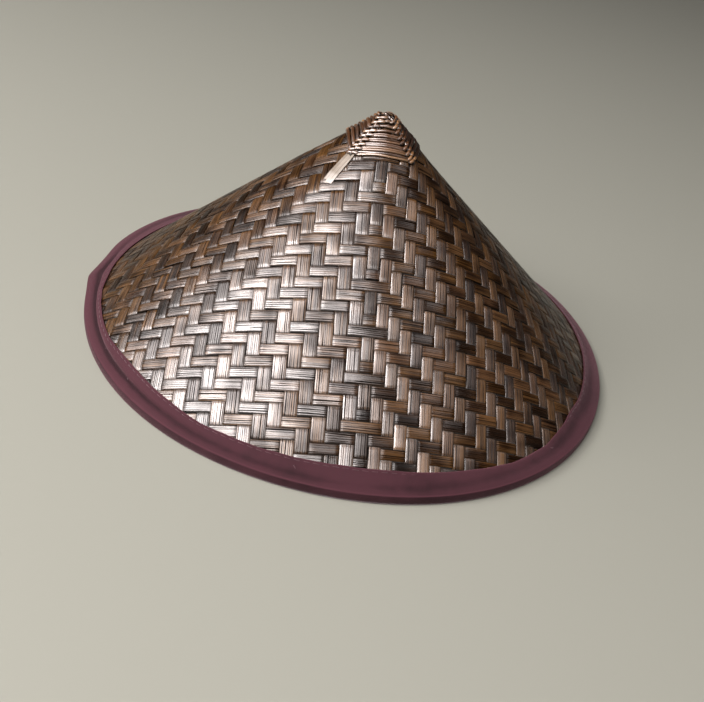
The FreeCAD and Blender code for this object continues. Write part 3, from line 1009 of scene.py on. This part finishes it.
inner_ripple = rim_ripple((150, 11, 0.10), (40, 12, 0.10))
outer_ripple = rim_ripple((90, 13, 0.12), (30, 14, 0.10))
corner_ripple = rim_ripple((70, 15, 0.10), (22, 16, 0.16))

# the tape lies flat from its inner edge to a corner over the hoop, and sags into a crease
# between them: the crease's depth in mm, then its place and width as shares of the way across
crease_depth = rim_profile([
    (-110, 0.8), (-97, 1.6), (-90, 3.2), (-70, 3.3), (-55, 2.7), (-42, 1.5), (-25, 0.85),
    (-8, 0.55), (8, 0.35), (25, 0.40), (42, 0.75), (55, 1.15), (75, 1.3), (95, 0.9), (130, 0.7),
    (175, 1.1), (215, 0.7)]) + ring_noise(BRIM_COUNT, 46, 17, 0.16)
crease_place = rim_profile([
    (-110, 0.45), (-90, 0.5), (-60, 0.52), (-42, 0.56), (-25, 0.60), (0, 0.66), (20, 0.60),
    (35, 0.40), (50, 0.34), (75, 0.34), (95, 0.45), (150, 0.5)])
crease_width = rim_profile([
    (-90, 0.13), (-70, 0.14), (-50, 0.17), (-30, 0.16), (0, 0.13), (30, 0.2), (60, 0.24),
    (90, 0.22), (180, 0.2)])
# 1 where the crease may sink beyond the ends of the splints
sag_room = rim_profile([(-112, 0), (-98, 1), (-52, 1), (-42, 0), (90, 0), (180, 0)])
CORNER_RADIUS = 209.35
corner_z = 7.35 + 0.5 * corner_ripple
corner_slant, corner_offset = to_slant_offset(CORNER_RADIUS, corner_z)


def tape_top(t):
    """Slant and offset of the tape's upper face, t from its inner edge to the corner."""
    slant = tape_slant + t * (corner_slant - tape_slant)
    line = 1.22 + (corner_offset - 1.22) * t ** 1.12
    sag = crease_depth * np.exp(-np.abs((t - crease_place) / crease_width) ** 1.7)
    floor_offset = 0.52 - 1.5 * sag_room * smooth(slant, 263.4, 264.9)
    soft = 0.45 * (inner_ripple * (1 - t) + outer_ripple * t) \
        * math.sin(math.pi * min(1, t + 0.12))
    return slant, np.maximum(line - sag + soft, floor_offset)


# the tape's section as slant and offset, from its inner edge over the top
section_rows = [(tape_slant + 0.9, 0.30), (tape_slant + 0.2, 0.38), (tape_slant - 0.05, 0.70),
                (tape_slant + 0.3, 1.05 + 0.4 * inner_ripple)]
section_rows += [tape_top(t) for t in (0.09, 0.19, 0.29, 0.39, 0.49, 0.59, 0.69, 0.79, 0.88,
                                       0.95, 0.985)]
top_rows = len(section_rows)
# down the outside: radius beyond the corner, height
for beyond, z in ((0.22, corner_z - 0.25), (0.42, corner_z - 1.1), (0.58, 4.5), (0.52, 2.7),
                  (0.15, 1.0), (-0.9, 0.12)):
    radius = CORNER_RADIUS + beyond + 0.35 * corner_ripple * (z > 2)
    section_rows.append(to_slant_offset(radius, z))
# across the bottom, and up under the splints to the lower edge
section_rows += [to_slant_offset(radius, 0.0) for radius in (206.3, 203.4)]
section_rows += [(slant, offset + 0.6 * outer_ripple * (slant < 270))
                 for slant, offset in ((270.6, -4.95), (266.5, -4.80), (260.5, -4.70))]
low_edge = 257.2 + ring_noise(BRIM_COUNT, 100, 18, 0.3)
section_rows += [(low_edge + 0.8, -4.68), (low_edge, -4.45), (low_edge + 0.1, -4.05),
                 (low_edge + 1.2, -3.95)]
# back along the inner face
section_rows += [(261.5, -4.05), (266.5, -4.2), (271.0, -4.2)]
section_rows += [to_slant_offset(CORNER_RADIUS + beyond + 0.3 * corner_ripple, z)
                 for beyond, z in ((-3.6, 0.75), (-1.3, 0.95), (-0.35, 1.9), (-0.05, 4.0))]
section_rows.append(to_slant_offset(CORNER_RADIUS - 0.45, corner_z - 1.0))
for t in (0.90, 0.79, 0.68, 0.57, 0.46, 0.35, 0.24, 0.14):
    slant, offset = tape_top(t)
    lowest = 0.10 - 1.5 * sag_room * smooth(slant, 263.6, 265.0)
    section_rows.append((slant - 0.15, np.maximum(offset - 0.55, lowest)))

SECTION_STEPS = 2
STITCH_COUNT = 192
STITCH_ANGLE = 2 * math.pi / STITCH_COUNT
STITCH_INSET = 1.8                                 # from the tape's inner edge


def brim_tape():
    control = np.stack([np.stack([np.broadcast_to(part, (BRIM_COUNT,)) for part in row], -1)
                        for row in section_rows], 1)
    section = spline(control, SECTION_STEPS, closed=True)
    slant, offset = section[..., 0], section[..., 1]
    column = np.arange(section.shape[1])
    inner_edge = tape_slant[:, None]
    azimuth = rim_azimuth[:, None]

    # running stitches pull small dimples at their ends
    phase = np.mod(rim_azimuth, STITCH_ANGLE) / STITCH_ANGLE
    dimple = bell(phase, 0.2, 0.1) + bell(phase, 0.8, 0.1)
    stitch_row = bell(slant, inner_edge + STITCH_INSET, 0.7) * (offset > 0.9)
    offset = offset - 0.16 * dimple[:, None] * stitch_row
    # soft drag lines across the tape
    drag = ring_noise(BRIM_COUNT, 210, 23, 0.07)[:, None]
    offset = offset + drag * smooth(slant, 258, 262) * (1 - smooth(slant, 264, 268)) \
        * (offset > 0.9)
    # the tape's two ends lap at the back
    lap = smooth(rim_degrees, 151.0, 151.5) * (1 - smooth(rim_degrees, 155.5, 156.2))
    upper = smooth(offset, 0.6, 0.8) * (column < (top_rows + 3) * SECTION_STEPS)
    offset = offset + 0.45 * lap[:, None] * upper
    radius, z = to_radius_z(slant, offset)
    points = around(azimuth, radius * rim_stretch(slant, azimuth), np.maximum(z, 0.0))

    # painted light and shade: a painted highlight on the corner, painted shade in the crease and on
    # the faces below the top, and painted light on the top at the left, lit side
    t = (slant - inner_edge) / (corner_slant - tape_slant)[:, None]
    on_top = column < top_rows * SECTION_STEPS
    in_crease = np.exp(-np.abs((t - crease_place[:, None] - 0.04)
                               / (0.95 * crease_width[:, None])) ** 2)
    painted_shading = 0.35 + 1.7 * bell(t, 0.975, 0.03) * on_top \
        - np.clip(crease_depth, 0.3, 2)[:, None] * 1.15 * in_crease * on_top
    painted_shading = painted_shading - 0.6 * (1 - on_top)
    left_painted_light = rim_profile([(-120, 0), (-100, 0.8), (-45, 0.8), (-20, 0), (90, 0), (180, 0)])
    painted_shading = painted_shading + left_painted_light[:, None] * on_top
    # the fold at the tape's inner edge, which gets a painted highlight
    fold = bell(slant, inner_edge, 0.6) * (offset > 0.2)
    girth = run_length(np.stack([slant[0], offset[0]], -1))
    bag = Bag()
    bag.add(points, tube_faces(*slant.shape, True), fib=(azimuth * 205, girth[None], 0.0),
            tint=(0.5, fold, painted_shading), xn=0.0, acr=(0, 0, 1.0))
    piece("brim_tape", bag, "binding_cloth", "brim_binding", sharp_angle=70)


def brim_stitches():
    """A running stitch near the tape's inner edge, and a few tacking stitches across it."""
    bag = Bag()
    row_offset = tape_top(0.105)[1]
    x = np.linspace(-1, 1, 9)
    for i in range(STITCH_COUNT):
        middle = -math.pi + (i + 0.5) * STITCH_ANGLE
        slant = float(np.interp(middle, rim_azimuth, tape_slant)) + STITCH_INSET
        azimuth = middle + np.linspace(-0.31, 0.31, 9) * STITCH_ANGLE
        offset = float(np.interp(middle, rim_azimuth, row_offset)) + 0.10 - 0.30 * x ** 4
        sweep(bag, cone(slant + 0.12 * x, azimuth, offset), outward_at(azimuth),
              ring(6, 0.16, 0.2), 2000 + i)
    # degrees from the camera's side, share of the way across the tape
    tacks = ((-46.0, 0.5), (-58.0, 0.45), (-4.5, 0.42), (51.5, 0.28), (74.0, 0.2), (118.0, 0.4),
             (176.0, 0.5), (-128.0, 0.45))
    x = np.linspace(-1, 1, 7)
    for i, (side, t) in enumerate(tacks):
        middle = math.radians(side - CAMERA_TURN)
        azimuth = middle + np.linspace(-0.0042, 0.0042, 7)
        slant, offset = (np.interp(middle, rim_azimuth, values) for values in tape_top(t))
        path = cone(slant + 0.8 * x, azimuth, offset + 0.22 - 0.35 * x ** 4)
        path[:, :2] *= rim_stretch(slant, azimuth)[:, None]
        sweep(bag, path, outward_at(azimuth), ring(6, 0.2, 0.24), 2300 + i, tone=1.0)
    piece("brim_stitches", bag, "binding_thread", "binding_stitches", sharp_angle=0)


def swellings(azimuth, places, width):
    """Bumps at these places, in degrees."""
    return sum(bell(wrap180(np.degrees(azimuth) - place), 0, width) for place in places)


def rim_hoops():
    """The round cane and the flat splint inside the binding."""
    count = 540
    azimuth = np.linspace(-math.pi, math.pi, count, endpoint=False)
    bag = Bag()
    size = 1 + 0.05 * swellings(azimuth, (-150, -75, 10, 88, 140), 0.7) \
        + ring_noise(count, 40, 31, 0.012)
    sweep(bag, around(azimuth, 205.9 * rim_factor(azimuth), 4.1), around(azimuth, 1, 0),
          ring(14, 2.95)[None] * size[:, None, None], 900, closed=True)
    piece("rim_hoop_cane", bag, "cane", "rim_hoop_outer", sharp_angle=0)

    bag = Bag()
    ribbon(bag, cone(261.3 + ring_noise(count, 30, 33, 0.2), azimuth, -2.9),
           around(azimuth, COS_SLOPE, -SIN_SLOPE), -outward_at(azimuth), half_width=3.7,
           thickness=1.3, seed=6, crown=0.2, closed=True)
    for points in bag.points:          # bent out and in with the tape
        radius = np.hypot(points[:, 0], points[:, 1])
        turn = np.arctan2(points[:, 0], -points[:, 1])
        slant, _ = to_slant_offset(radius, points[:, 2])
        points[:, :2] *= rim_stretch(slant, turn)[:, None]
    piece("rim_hoop_flat", bag, "cane", "rim_hoop_inner")


brim_tape()
brim_stitches()
rim_hoops()

# ------------------------------------------------------------------ head ring
PLAIT_COUNT, PLAIT_ROWS = 72, 4
PLAIT_BOTTOM, PLAIT_TOP = 64.6, 97.9
PLAIT_RADIUS = 87.2
PLAIT_SWING = 0.27                                 # a strip's radius swings this far each way


def head_ring_plait():
    """Upright strips woven with level ones."""
    bag = Bag()
    angle = 2 * math.pi / PLAIT_COUNT
    row_pitch = (PLAIT_TOP - PLAIT_BOTTOM) / PLAIT_ROWS
    z = np.linspace(PLAIT_BOTTOM, PLAIT_TOP, 44)
    row = np.clip((z - PLAIT_BOTTOM) / row_pitch - 0.5, 0, PLAIT_ROWS - 1)
    for i in range(PLAIT_COUNT):
        # each strip shows less where it passes behind a crossing one, and gets painted shade there
        swing = (1 if i % 2 else -1) * np.cos(math.pi * row)
        ribbon(bag, around(i * angle, PLAIT_RADIUS + PLAIT_SWING * swing, z),
               sideways(i * angle), around(i * angle, -1, 0), 3.25, 0.4, 1200 + i,
               crown=0.06, shown=0.5 - 0.5 * swing, groove_depth=0.03)
    azimuth = np.linspace(0, 2 * math.pi, PLAIT_COUNT * 6, endpoint=False)
    for k in range(PLAIT_ROWS):
        swing = (-1 if k % 2 else 1) * np.cos(azimuth / angle * math.pi)
        centre = around(azimuth, PLAIT_RADIUS - PLAIT_SWING * swing,
                        PLAIT_BOTTOM + (k + 0.5) * row_pitch)
        ribbon(bag, centre, np.array([0, 0, 1.0]), around(azimuth, -1, 0), 3.7, 0.4, 1300 + k,
               crown=0.06, closed=True, shown=0.5 + 0.5 * swing, groove_depth=0.03)
    piece("head_ring_plait", bag, "ring_bamboo", "head_ring_band")


def head_ring_hoop(name, number, bottom, top, replaced):
    """A flat rounded hoop outside the plait."""
    bag = Bag()
    azimuth = np.linspace(0, 2 * math.pi, 360, endpoint=False)
    half_height = 0.5 * (top - bottom)
    x, y = ring(20).T
    section = np.stack([np.sign(x) * np.abs(x) ** 0.6 * 1.22,
                        np.sign(y) * np.abs(y) ** 0.55 * (half_height - 0.05)], -1)
    places = [place + 40 * number for place in (30, 128, 215, 300)]
    size = 0.95 + 0.05 * swellings(azimuth, places, 1.2)
    sweep(bag, around(azimuth, 89.33, 0.5 * (bottom + top)), around(azimuth, 1, 0),
          section[None] * size[:, None, None], 960 + number, closed=True)
    piece(name, bag, "ring_bamboo", replaced, sharp_angle=50)


def head_ring_ties():
    """Eight two-strand cords, each looped round the upper hoop and the plait."""
    bag = Bag()
    inner, outer, bottom, top = 85.8, 91.45, 91.15, 99.35
    corners = np.array([
        (inner, bottom + 1), (inner, top - 1), (inner + 1, top), (outer - 1, top),
        (outer, top - 1), (outer, bottom + 1), (outer - 1, bottom), (inner + 1, bottom)], float)
    loop = spline(corners, 10, closed=True)
    for i in range(8):
        azimuth = math.radians(22.5 + 45 * i)
        path = around(azimuth, loop[:, 0], loop[:, 1])
        side = sideways(azimuth)
        length = run_length(path)
        total = length[-1] + np.linalg.norm(path[0] - path[-1])
        twists = round(total / 2.6)
        second = np.cross(tangents(path, closed=True), side)
        for k in range(2):
            phase = (2 * math.pi * (length / total * twists + k / 2))[:, None]
            strand_path = path + 0.3 * (np.cos(phase) * side + np.sin(phase) * second)
            sweep(bag, strand_path, side, ring(8, 0.36), 1500 + i * 2 + k, closed=True)
    piece("head_ring_ties", bag, "lashing_cord", "head_ring_lashings", sharp_angle=0)


def sweatband():
    """A folded cotton band, stitched along both edges."""
    count = 540
    bottom, top = 64.8, 83.7
    stitch_rows = (66.2, 82.3)
    azimuth = np.linspace(-math.pi, math.pi, count, endpoint=False)
    ripple = ring_noise(count, 60, 41, 0.10)
    droop = ring_noise(count, 34, 42, 0.35)
    heights = top - np.linspace(0, 1, 15) * (top - bottom)
    rows = []                                                   # radius and z
    for z in heights:                                           # inner face, going down
        share = (z - bottom) / (top - bottom)
        hem = sum(0.10 * bell(z, row, 0.5) for row in stitch_rows)
        belly = 0.22 * np.sin(math.pi * share)
        rows.append((84.95 - belly + hem + ripple * 0.8, z + droop * share - 0.3))
    rows += [(85.25, 64.55), (85.8, 64.6)]                      # the lower fold
    rows += [(86.2, z - 0.1) for z in heights[::-1][1::2]]      # outer face, going up
    rows += [(86.0, 83.75 + droop * 0.5 - 0.2), (85.5, 83.95 + droop - 0.45)]
    radius, z = (np.stack([np.broadcast_to(part, (count,)) for part in column], 1)
                 for column in zip(*rows))
    pressed = (np.mod(np.arange(count), 3) == 0)[:, None] * (radius < 85.4)
    stitches = 0.16 * sum(bell(z, row, 0.45) for row in stitch_rows) * pressed
    bag = Bag()
    bag.add(around(azimuth[:, None], radius + stitches, z),
            [grid_faces(*radius.shape, closed=True)[:, ::-1]],
            fib=((azimuth * 85)[:, None], z, 1.0), tint=(0.5, 0.0, 0.6), xn=0.0,
            acr=(0, 0, 1.0))
    piece("sweatband_cotton", bag, "sweatband_cotton", "sweatband", sharp_angle=60)


head_ring_plait()
head_ring_hoop("head_ring_hoop_low", 0, 64.0, 70.5, "head_ring_lower_hoop")
head_ring_hoop("head_ring_hoop_top", 1, 92.0, 98.5, "head_ring_upper_hoop")
head_ring_ties()
sweatband()

# ------------------------------------------------------------------ chin strap
# The strap lies at rest towards the rear, dropping from its hinge at the sides.
STRAP_DIP = math.radians(16.0)
HINGE_Z = 57.0
STRAP_NORMAL = np.array([0, math.sin(STRAP_DIP), math.cos(STRAP_DIP)])
END_X, START = 87.2, 2.9                           # a cord end: to the side, from the hinge
PAIR_X, JOIN, TURN = 2.4, 136, 190                 # the two runs lie together from JOIN to TURN
EYE_RADIUS = 2.3
WRAP_RADIUS = 1.78


def hang(x, distance, out=0.0):
    """A point down the strap from its hinge, x to the side and out of the strap's plane."""
    x, distance, out = np.broadcast_arrays(x, distance, out)
    return np.stack([x, distance * math.cos(STRAP_DIP) + out * math.sin(STRAP_DIP),
                     HINGE_Z - distance * math.sin(STRAP_DIP) + out * math.cos(STRAP_DIP)], -1)


def laid_section(length, radius=1.16, pitch=6.2):
    """Section of a laid cord of three strands, turning along it, and how far each point shows."""
    centre, strand_radius = 0.5 * radius, 0.52 * radius
    third = 2 * math.pi / 3
    angle = np.arange(18) * 2 * math.pi / 18
    d = angle[None, :] - 2 * math.pi * length[:, None] / pitch + math.pi / 3
    d = np.mod(d, third) - math.pi / 3
    reach = centre * np.cos(d) \
        + np.sqrt(np.maximum(strand_radius ** 2 - (centre * np.sin(d)) ** 2, 0.0))
    section = np.stack([reach * np.cos(angle)[None], reach * np.sin(angle)[None]], -1)
    return section, (reach - reach.min()) / (reach.max() - reach.min())


def chin_cord():
    """The laid cord, its two eyes and the thread whipped below them."""
    bag = Bag()
    t = np.linspace(0, 1, 60)
    side_run = hang(-END_X + (END_X - PAIR_X) * t, START + (JOIN - START) * t)
    pair_run = hang(-PAIR_X, JOIN + (TURN - JOIN) * np.linspace(0.02, 1, 40))
    t = np.linspace(0.15, math.pi - 0.15, 14)
    turn = hang(-PAIR_X * np.cos(t), TURN + PAIR_X * np.sin(t))
    there = np.concatenate([side_run, pair_run])
    back = (there * np.array([-1, 1, 1]))[::-1]
    path = resample(np.concatenate([there, turn, back]), 0.62)
    for _ in range(6):                 # softens the bends
        path[1:-1] = 0.25 * path[:-2] + 0.5 * path[1:-1] + 0.25 * path[2:]
    section, shown = laid_section(run_length(path))
    sweep(bag, path, STRAP_NORMAL, section, 1700, shown=shown)

    a = np.linspace(0, 2 * math.pi, 30, endpoint=False)
    girth = 2 * math.pi * EYE_RADIUS
    eye_section, eye_shown = laid_section(np.arange(30) * girth / 30, radius=1.12,
                                          pitch=girth / 2)
    t = np.linspace(0, 1, 150)
    wrap_angle = 2 * math.pi * 9 * t
    distance = 4.2 + 5.2 * t
    for side in (-1, 1):
        eye = hang(side * 87.6, EYE_RADIUS * np.cos(a), EYE_RADIUS * np.sin(a))
        sweep(bag, eye, np.array([1.0, 0, 0]), eye_section, 1710 + side, closed=True,
              shown=eye_shown)
        x = side * (END_X - (END_X - PAIR_X) * (distance - START) / (JOIN - START))
        sweep(bag, hang(x + 1.32 * np.cos(wrap_angle), distance, 1.32 * np.sin(wrap_angle)),
              STRAP_NORMAL, ring(6, 0.27), 1720 + side, shown=0.9)
    piece("chin_cord_laid", bag, "strap_cord", "chin_cord", body="chin_strap", sharp_angle=0)


def cord_end_whipping():
    """Eight turns of thread round the two runs, flat between two half circles."""
    bag = Bag()
    share = np.linspace(0, 1, 420)
    flat, half_turn = 2 * PAIR_X, math.pi * WRAP_RADIUS
    u = np.mod(share * 8, 1.0) * (2 * half_turn + 2 * flat)
    first = (u - flat) / WRAP_RADIUS                   # angle round the half circle at +X
    second = (u - 2 * flat - half_turn) / WRAP_RADIUS  # angle round the one at -X
    parts = [u < flat, u < flat + half_turn, u < 2 * flat + half_turn]
    x = np.select(parts, [-PAIR_X + u, PAIR_X + WRAP_RADIUS * np.sin(first),
                          PAIR_X - (u - flat - half_turn)],
                  -PAIR_X - WRAP_RADIUS * np.sin(second))
    out = np.select(parts, [WRAP_RADIUS, WRAP_RADIUS * np.cos(first), -WRAP_RADIUS],
                    -WRAP_RADIUS * np.cos(second))
    sweep(bag, hang(x, 184.4 + 4.2 * share, out),
          np.array([0, -math.cos(STRAP_DIP), math.sin(STRAP_DIP)]), ring(8, 0.34), 1740,
          shown=0.9)
    piece("cord_end_whipping", bag, "strap_cord", "cord_end_wrap", body="chin_strap",
          sharp_angle=0)


chin_cord()
cord_end_whipping()
for name, slot in (("strap_ring_left", "ring_wire"), ("strap_ring_right", "ring_wire"),
                   ("cord_bead", "bead_wood")):
    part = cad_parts[name]
    part.data.materials.clear()
    part.data.materials.append(MATERIALS[slot])

# ------------------------------------------------------------------ camera
LENS, SENSOR_WIDTH = 50.3897727, 36.0
CAMERA_ELEVATION = math.radians(31.56)
CAMERA_DISTANCE = 3.845 * RIM * MM
CAMERA_ROLL = math.radians(10.32)
AIM_X, AIM_Y = -0.00710371423, -0.0245585549       # tangents of the aim, right and down
camera_turn = math.radians(-CAMERA_TURN)


def turn_about_z(angle):
    c, s = math.cos(angle), math.sin(angle)
    return np.array([[c, -s, 0], [s, c, 0], [0, 0, 1]])


def add_camera():
    c, s = math.cos(CAMERA_ELEVATION), math.sin(CAMERA_ELEVATION)
    view = np.array([[1.0, 0, 0], [0, -s, -c], [0, c, -s]])       # rows: right, down, forward
    aim = np.array([AIM_X, AIM_Y, 1.0])
    aim /= np.linalg.norm(aim)
    axis = np.cross([0, 0, 1.0], aim)
    sine = np.linalg.norm(axis)
    x, y, z = axis / sine
    skew = np.array([[0, -z, y], [z, 0, -x], [-y, x, 0]])
    swing = np.eye(3) + sine * skew + (1 - aim[2]) * skew @ skew
    right, down, forward = swing @ turn_about_z(CAMERA_ROLL) @ view
    turn = turn_about_z(camera_turn)
    world = np.eye(4)
    world[:3, :3] = turn @ np.stack([right, -down, -forward], -1)
    world[:3, 3] = turn @ (np.array([0, -c, s]) * CAMERA_DISTANCE)

    data = bpy.data.cameras.new("camera")
    data.sensor_width = SENSOR_WIDTH
    data.lens = LENS
    data.clip_start = 0.01
    camera = bpy.data.objects.new("camera", data)
    bpy.context.scene.collection.objects.link(camera)
    camera.matrix_world = Matrix(world.tolist())
    bpy.context.scene.camera = camera


add_camera()


# ------------------------------------------------------------------ floor, light
def add_floor():
    """A plain pale floor, clear from below so that the inside can be looked at."""
    s = Shader("floor")
    s.surface({"Base Color": srgb(129, 129, 119), "Roughness": 0.75})
    clear = s.math("MAXIMUM", s.node("NewGeometry", output="Backfacing"),
                   s.node("LightPath", output="Is Shadow Ray"))
    s.feed(s.output, s.node("MixShader", {0: clear, 1: s.principled,
                                          2: s.node("BsdfTransparent")}))
    half = 6
    mesh = bpy.data.meshes.new("floor")
    mesh.from_pydata([(-half, -half, 0), (half, -half, 0), (half, half, 0), (-half, half, 0)],
                     [], [(0, 1, 2, 3)])
    mesh.materials.append(s.material)
    floor = bpy.data.objects.new("floor", mesh)
    bpy.context.scene.collection.objects.link(floor)


def disc_light(name, direction, distance, size, power, color=(1, 1, 1)):
    """A soft disc aimed at the hat. direction has x to the camera's right, -y towards it."""
    d = Vector(direction).normalized()
    c, s = math.cos(camera_turn), math.sin(camera_turn)
    d = Vector((d.x * c - d.y * s, d.x * s + d.y * c, d.z))
    data = bpy.data.lights.new(name, "AREA")
    data.shape = "DISK"
    data.size = size
    data.energy = power
    data.color = color
    data.spread = math.pi
    light = bpy.data.objects.new(name, data)
    light.location = Vector((0, 0, 0.08)) + d * distance
    light.rotation_euler = d.to_track_quat("Z", "Y").to_euler()
    light.visible_camera = False
    bpy.context.scene.collection.objects.link(light)


# a wide soft window to the left and in front: elevation, degrees from the camera's side, watts
WINDOW = ((40, -70, 35.3), (40, -20, 26.6), (55, -45, 20.0), (40, -45, 17.8), (22, -70, 17.0),
          (55, 0, 14.2), (40, -95, 9.9), (22, -95, 8.4), (55, -70, 8.0), (84, 0, 6.6),
          (68, -40, 5.5), (55, 20, 3.0), (55, 95, 2.0), (22, -120, 1.4), (55, 70, 1.6))

add_floor()
for elevation, side, watts in WINDOW:
    level, rise = math.cos(math.radians(elevation)), math.sin(math.radians(elevation))
    turn = math.radians(side)
    disc_light("window_%d_%d" % (elevation, side % 360),
               (level * math.sin(turn), -level * math.cos(turn), rise),
               distance=2.4, size=0.9, power=watts, color=(1.0, 0.955, 0.955))
# a lamp under the floor lights only the inside, for looking at it from below
disc_light("inside_fill", (0.0, 0.0, -1.0), distance=1.0, size=0.3, power=16.0)

world = bpy.data.worlds.new("studio")
bpy.context.scene.world = world
world.use_nodes = True
background = world.node_tree.nodes["Background"]
background.inputs["Color"].default_value = (0.9, 0.93, 1.0, 1)
background.inputs["Strength"].default_value = 0.024
bpy.context.scene.view_settings.view_transform = "Standard"
